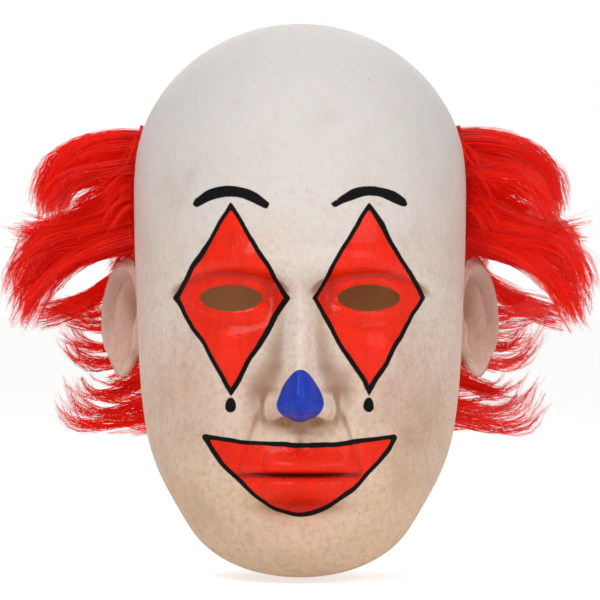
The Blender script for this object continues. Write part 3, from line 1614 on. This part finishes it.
@dataclass
class HairTuft:
    """One tuft: a backing strip on the side of the head, and three bunches of strands that leave it."""

    form: HeadForm
    side: Side
    finish: bpy.types.Material
    strands: StrandTree
    reach: float = 63.0
    lock_width: float = 15.5
    lock_bow: float = 0.44
    backing_width: float = 54.0
    backing_thickness: float = 1.6
    backing_edge: float = 0.12
    backing_columns: int = 18
    backing_rows: int = 60
    sharp_angle: float = 45.0
    rounded_end: float = 0.05
    glue_gap: float = 0.35
    undercoat_rows: int = 24
    undercoat_length: float = 24.0
    undercoat_step: float = 5.0
    ear_top: float = 0.42
    ear_room: float = 13.0
    ear_middle: float = 0.535
    ear_half_height: float = 32.0
    guide_points: int = 10
    undercoat_points: int = 7
    strand_radius: float = 0.16
    clump_size: int = 9
    clump_width: float = 1.8
    frizz: float = 2.6
    left_seed: int = 500

    def seat(self, skin: BVHTree, depth: float, z: float) -> tuple[np.ndarray, np.ndarray]:
        """Where the side of the head is, and which way it faces.

        Args:
            skin: Search tree of the plain head.
            depth: Place behind the crown axis, in millimetres.
            z: Height, in millimetres.

        Returns:
            The point and the normal, on the right side.
        """
        hit, normal, _, _ = skin.ray_cast(Vector((0.3, depth * MM, z * MM)), Vector((-1, 0, 0)))
        return np.array(hit) / MM, np.array(normal)

    @staticmethod
    def guide_line(points: np.ndarray, half: float) -> GuideLine:
        """A guide line through the points, with its strands spread at right angles to the depth.

        Args:
            points: The points, in millimetres.
            half: How far strands spread to each side.

        Returns:
            The line.
        """
        across = np.cross(np.array([0, 1.0, 0]), np.gradient(points, axis=0))
        across /= np.linalg.norm(across, axis=1, keepdims=True)
        return GuideLine(points, across, half)

    def lock_guide(self, skin: BVHTree, lock: Lock) -> GuideLine:
        """The middle line of a lock.

        Args:
            skin: Search tree of the plain head.
            lock: The lock.

        Returns:
            The line.
        """
        depth = lock.root_depth * self.form.back_reach
        seat, _ = self.seat(skin, depth, self.form.z_of(lock.root_drop))
        root = seat + np.array([0.8, 0, 0])
        tip = np.array(
            [
                self.form.width / 2 + lock.tip_reach * self.reach,
                lock.tip_depth * self.form.back_reach,
                self.form.z_of(lock.tip_drop),
            ]
        )
        bow = self.lock_bow * np.linalg.norm(tip - root)
        leave, arrive = math.radians(lock.exit), math.radians(lock.tip)
        first = root + bow * np.array([math.cos(leave), 0, math.sin(leave)])
        second = tip - bow * np.array([math.cos(arrive), 0, math.sin(arrive)])
        t = np.linspace(0, 1, self.guide_points)[:, None]
        curve = (1 - t) ** 3 * root + 3 * (1 - t) ** 2 * t * first + 3 * (1 - t) * t**2 * second + t**3 * tip
        return self.guide_line(curve, lock.width * self.lock_width / 2)

    def strip(self, share: np.ndarray) -> tuple[np.ndarray, np.ndarray, np.ndarray]:
        """The backing strip's middle line.

        Args:
            share: Places along it, 0 at the top and 1 at the bottom.

        Returns:
            Depth and height, the unit vector across the strip, and half its width, at each place.
        """
        table = np.array(BACKING_LINE)
        position = share * (len(table) - 1)
        depth, drop, width = (column_at(table[:, k], position) for k in range(3))
        end = 1 - np.clip(np.minimum(share, 1 - share) / self.rounded_end, 0.04, 1)
        width = width * np.sqrt(1 - end * end)
        middle = np.stack([depth * self.form.back_reach, self.form.z_of(drop)], axis=-1)
        tangent = np.gradient(middle, axis=0)
        tangent /= np.linalg.norm(tangent, axis=1, keepdims=True)
        across = np.stack([-tangent[:, 1], tangent[:, 0]], axis=-1)
        return middle, across, width * self.backing_width / 2

    def undercoat_guides(self, skin: BVHTree) -> list[GuideLine]:
        """Short guide lines that lie over the backing strip like tiles and hide it between the locks.

        Args:
            skin: Search tree of the plain head.

        Returns:
            The lines.
        """
        rows = np.linspace(0.015, 0.985, self.undercoat_rows)
        t = np.linspace(0, 1, self.undercoat_points)[:, None]
        made = []
        for row, (centre, sideways, half) in enumerate(zip(*self.strip(rows))):
            count = max(2, round(half / self.undercoat_step))
            low = smooth_step(rows[row], 0.6, 0.95)
            full = smooth_step(rows[row], -0.02, 0.14)
            back = swell(0, (centre[1] - self.form.z_of(self.ear_middle)) / self.ear_half_height)
            for place in np.linspace(-0.9, 0.9, count) + 0.4 / count * (-1) ** row:
                if place < -0.3 and abs(centre[1] - self.form.z_of(self.ear_top)) < self.ear_room:
                    continue
                seat, normal = self.seat(skin, *(centre + sideways * half * place))
                start = normal * (0.3 + 0.6 * full + 0.9 * low) * np.array([1, 1, 0.3])
                start = start + np.array([0, 0.4 * place + 0.6 * back, 0.9 * full - 0.9])
                fall = np.array([0.1 + 0.5 * low, 0.3 * place + 0.45 * back, -1.0 + 1.15 * low])
                length = self.undercoat_length * (0.6 + 0.4 * full)
                curve = seat + (0.6 + 0.6 * full) * normal + length * (0.5 * t * start + 0.62 * t * t * fall)
                made.append(self.guide_line(curve, 2.0 + 2.5 * full))
        return made

    def guides(self, lines: list[GuideLine]) -> bpy.types.Object:
        """Guide lines as bare edges, with what the tree reads from them.

        Args:
            lines: The lines, on the right side, all with as many points.

        Returns:
            The object.
        """
        count = len(lines[0].points)
        flip = np.array([self.side.value, 1, 1])
        points = np.concatenate([line.points for line in lines]) * flip
        across = np.concatenate([line.across for line in lines]) * flip
        edges = [(n * count + k, n * count + k + 1) for n in range(len(lines)) for k in range(count - 1)]
        mesh = bpy.data.meshes.new("guides")
        mesh.from_pydata((points * MM).tolist(), edges, [])
        layer = mesh.attributes.new("across", "FLOAT_VECTOR", "POINT")
        layer.data.foreach_set("vector", across.astype(np.float32).ravel())
        store(mesh, "half_width", np.repeat([line.half for line in lines], count) * MM)
        store(mesh, "guide_share", np.tile(np.linspace(0, 1, count), len(lines)))
        return linked("guides", mesh)

    def bunch(self, label: str, lines: list[GuideLine], coat: Coat) -> bpy.types.Object:
        """The strands along a set of guide lines.

        Args:
            label: The bunch's name.
            lines: Its guide lines.
            coat: How its strands lie.

        Returns:
            The piece.
        """
        guides = self.guides(lines)
        step = guides.modifiers.new("strands", "NODES")
        step.node_group = self.strands.tree
        values = {
            "Strands": coat.strands,
            "Clump Size": self.clump_size,
            "Strand Radius": self.strand_radius * MM,
            "Depth Share": coat.depth_share,
            "Root Depth": coat.root_depth * MM,
            "Clump Width": self.clump_width * MM,
            "Sway": coat.sway * MM,
            "Frizz": self.frizz * MM,
            "Wave": coat.wave * MM,
            "Stray": coat.stray * MM,
            "Shortest": coat.shortest,
            "Seed": coat.seed + (self.left_seed if self.side is Side.LEFT else 0),
            "Finish": self.finish,
        }
        for name, value in values.items():
            step[self.strands.sockets[name]] = value
        graph = bpy.context.evaluated_depsgraph_get()
        mesh = bpy.data.meshes.new_from_object(guides.evaluated_get(graph))
        bpy.data.objects.remove(guides)
        name = f"hair_{label}_{self.side.name.lower()}"
        mesh.name = name
        mesh.shade_smooth()
        return linked(name, mesh)

    def backing(self, skin: BVHTree) -> bpy.types.Object:
        """The strip that the strands are sewn to, on the side of the head.

        Args:
            skin: Search tree of the plain head.

        Returns:
            The piece.
        """
        low, high = self.glue_gap, self.glue_gap + self.backing_thickness
        shares = np.linspace(-1, 1, self.backing_columns)
        heights = low + (high - low) * np.maximum(self.backing_edge, 1 - shares**4)
        rings = []
        for centre, sideways, half in zip(*self.strip(np.linspace(0, 1, self.backing_rows))):
            seats = [self.seat(skin, *(centre + sideways * half * share)) for share in shares]
            under = [hit + low * normal for hit, normal in seats]
            over = [hit + height * normal for height, (hit, normal) in zip(heights, seats)]
            rings.append(under + over[::-1])
        points = np.array(rings) * np.array([self.side.value, 1, 1])
        piece = mesh_from_rings(f"hair_backing_{self.side.name.lower()}", points)
        piece.data.materials.append(self.finish)
        for name in ("tone", "along"):
            store(piece.data, name, np.zeros(len(piece.data.vertices)))
        piece.data.shade_smooth()
        piece.data.set_sharp_from_angle(angle=math.radians(self.sharp_angle))
        return piece

    def build(self, skin: BVHTree) -> list[bpy.types.Object]:
        """Makes the tuft.

        Args:
            skin: Search tree of the plain head.

        Returns:
            Its pieces.
        """
        made = [self.backing(skin), self.bunch("undercoat", self.undercoat_guides(skin), UNDERCOAT)]
        for bunch, coat in COATS.items():
            lines = [self.lock_guide(skin, lock) for lock in bunch.value]
            made.append(self.bunch(bunch.name.lower(), lines, coat))
        return made


# Studio


class Lamp(NamedTuple):
    """A soft area light: its name, its place and edge in metres, and its power in watts."""

    name: str
    place: tuple[float, float, float]
    size: float
    power: float


LAMPS = (
    Lamp("key", (-0.8, -1.7, 1.2), 0.9, 18.0),
    Lamp("fill", (1.5, -1.5, 0.5), 1.2, 11.0),
    Lamp("top", (0.0, 0.2, 1.7), 1.2, 6.0),
    Lamp("back", (0.0, 1.7, 0.8), 1.6, 12.0),
)


@dataclass
class Studio:
    """The camera at the photograph's angle, the pale floor and the soft lights."""

    distance: float = 2.6
    frame_width: float = 0.3175
    aim_z: float = -0.1435
    floor_z: float = -0.2885
    surround_light: float = 0.4

    def camera(self) -> None:
        """Places the camera level, straight in front of the mask."""
        data = bpy.data.cameras.new("camera")
        data.sensor_width = 36.0
        data.lens = 36.0 * self.distance / self.frame_width
        made = linked("camera", data)
        made.location = (0, -self.distance, self.aim_z)
        made.rotation_euler = (math.pi / 2, 0, 0)
        bpy.context.scene.camera = made

    def floor(self) -> None:
        """Lays a wide pale floor under the mask."""
        half = 40.0
        corners = ((-half, -half), (half, -half), (half, half), (-half, half))
        points = [(x, y, self.floor_z) for x, y in corners]
        mesh = bpy.data.meshes.new("floor")
        mesh.from_pydata(points, [], [(0, 1, 2, 3)])
        material, sheet, shader = new_material("floor")
        place = sheet.node("ShaderNodeTexCoord").outputs["Object"]
        tint = sheet.mix(sheet.noise(place, 2.0), colour("f7f6f4"), colour("f3f2f0"))
        glow = sheet.blend(sheet.camera_ray(), 0.12, 0.6)
        dull = {"Base Color": tint, "Roughness": 0.9}
        sheet.feed(shader, {**dull, "Emission Color": WHITE, "Emission Strength": glow})
        mesh.materials.append(material)
        linked("floor", mesh)

    def light(self, lamp: Lamp) -> None:
        """Adds a lamp that looks at the mask.

        Args:
            lamp: The lamp.
        """
        data = bpy.data.lights.new(lamp.name, "AREA")
        data.shape = "SQUARE"
        data.size = lamp.size
        data.energy = lamp.power
        made = linked(lamp.name, data)
        made.location = lamp.place
        aim = Vector((0, 0, self.aim_z)) - Vector(lamp.place)
        made.rotation_euler = aim.to_track_quat("-Z", "Y").to_euler()

    def build(self) -> None:
        """Sets up the whole studio."""
        self.camera()
        self.floor()
        for lamp in LAMPS:
            self.light(lamp)
        self.world()
        bpy.context.scene.view_settings.view_transform = "Standard"

    def world(self) -> None:
        """Makes an even white surround, brighter where the camera sees it than as light on the mask."""
        made = bpy.data.worlds.new("studio")
        made.use_nodes = True
        sheet = Sheet(made.node_tree)
        background = made.node_tree.nodes["Background"]
        strength = sheet.blend(sheet.camera_ray(), self.surround_light, 1.0)
        sheet.feed(background, {"Strength": strength, "Color": WHITE})
        bpy.context.scene.world = made


def place(piece: bpy.types.Object, node: str, slot: str) -> None:
    """Tells the frame what a piece stands for, and logs it.

    Args:
        piece: The finished piece.
        node: The CAD node that it stands for.
        slot: Its material slot in the record.
    """
    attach(piece, "root")
    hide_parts(node)
    piece.data.calc_loop_triangles()
    LOG.info("%s: %d triangles", piece.name, len(piece.data.loop_triangles))


def main() -> None:
    """Builds the mask, the tufts and the studio, in that order."""
    logging.basicConfig(level=logging.INFO, format="%(message)s")
    form = HeadForm()
    shell = MaskShell(form, EarForm()).build()
    place(shell, "mask_shell", "latex_white")
    plain = mesh_from_rings("plain_head", form.grid(120, 2.0, 0.0, form.face_relief)[1:])
    skin = surface_of(plain)
    finish = RedFibre().build()
    strands = StrandTree()
    for side in Side:
        for piece in HairTuft(form, side, finish, strands).build(skin):
            place(piece, f"hair_tuft_{side.name.lower()}", "hair_red")
    bpy.data.objects.remove(plain)
    Studio().build()
    bpy.context.view_layer.update()


if __name__ == "__main__":
    main()
